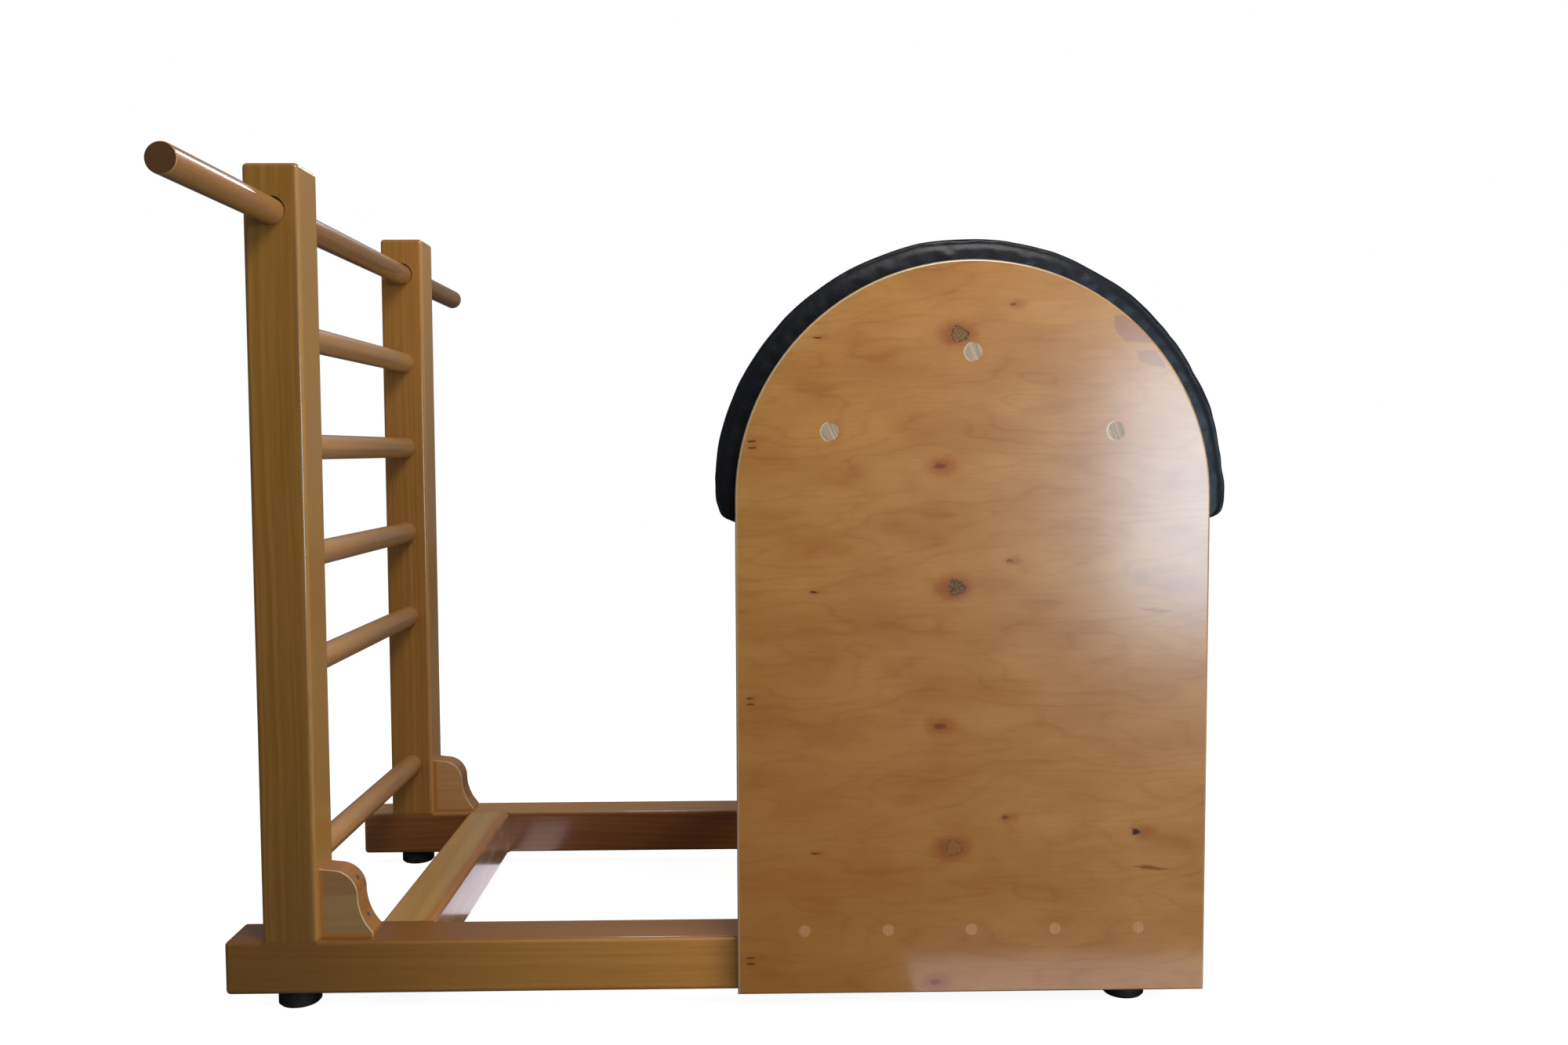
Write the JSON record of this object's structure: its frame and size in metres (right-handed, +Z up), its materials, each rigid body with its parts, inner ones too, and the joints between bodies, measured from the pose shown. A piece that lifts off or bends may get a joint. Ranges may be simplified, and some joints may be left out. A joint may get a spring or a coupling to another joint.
{
  "type": "exercise ladder barrel",
  "caption": "Exercise apparatus: a rung ladder and a padded half-round barrel on a wooden floor frame; the barrel slides along the rails and the top bar is loose in the posts.",
  "frame": {"origin": "on the floor, at the middle of the outline seen from above", "axes": "+X along the rails from the ladder to the barrel, +Y across the frame, +Z up; both sides mirror about Y = 0"},
  "size_m": [1.288, 1.245, 1.08],
  "materials": {
    "varnished_timber": "gloss varnish",
    "turned_dowel": "gloss varnish",
    "birch_plywood": "satin varnish",
    "plain_softwood": "bare, planed",
    "flush_plug": "satin varnish",
    "end_grain_plug": "satin varnish",
    "zinc_steel": "zinc plated",
    "foot_rubber": "matte",
    "black_vinyl": "grained, low sheen"
  },
  "bodies": {
    "frame": {"rail_near": "varnished_timber", "rail_far": "varnished_timber", "cross_member_front": "varnished_timber", "cross_member_rear": "varnished_timber", "frame_dowels": "plain_softwood", "foot_near_front": "foot_rubber", "foot_near_rear": "foot_rubber", "foot_far_front": "foot_rubber", "foot_far_rear": "foot_rubber", "foot_screws": "zinc_steel", "post_near": "varnished_timber", "post_far": "varnished_timber", "gusset_near": "varnished_timber", "gusset_far": "varnished_timber", "gusset_screws": "zinc_steel", "rung_1": "turned_dowel", "rung_2": "turned_dowel", "rung_3": "turned_dowel", "rung_4": "turned_dowel", "rung_5": "turned_dowel"},
    "barrel": {"side_panel_near": "birch_plywood", "side_panel_far": "birch_plywood", "panel_screws": "zinc_steel", "panel_plugs": "flush_plug", "stretcher_left": "plain_softwood", "stretcher_top": "plain_softwood", "stretcher_right": "plain_softwood", "stretcher_bolts": "zinc_steel", "stretcher_plugs": "end_grain_plug", "runner_near": "plain_softwood", "runner_far": "plain_softwood", "tie_board_front": "plain_softwood", "tie_board_rear": "plain_softwood", "tie_screws": "zinc_steel", "deck": "birch_plywood", "rim_ledger_near": "birch_plywood", "rim_ledger_far": "birch_plywood", "barrel_pad": "black_vinyl"},
    "bar": {"top_bar": "turned_dowel"}
  },
  "joints": [
    {"name": "barrel_slide", "type": "slide", "parent": "frame", "child": "barrel", "axis": [-1, 0, 0], "range_m": [0, 0.3]},
    {"name": "bar_slide", "type": "slide", "parent": "frame", "child": "bar", "axis": [0, 1, 0], "range_m": [-0.29, 0.29]}
  ]
}
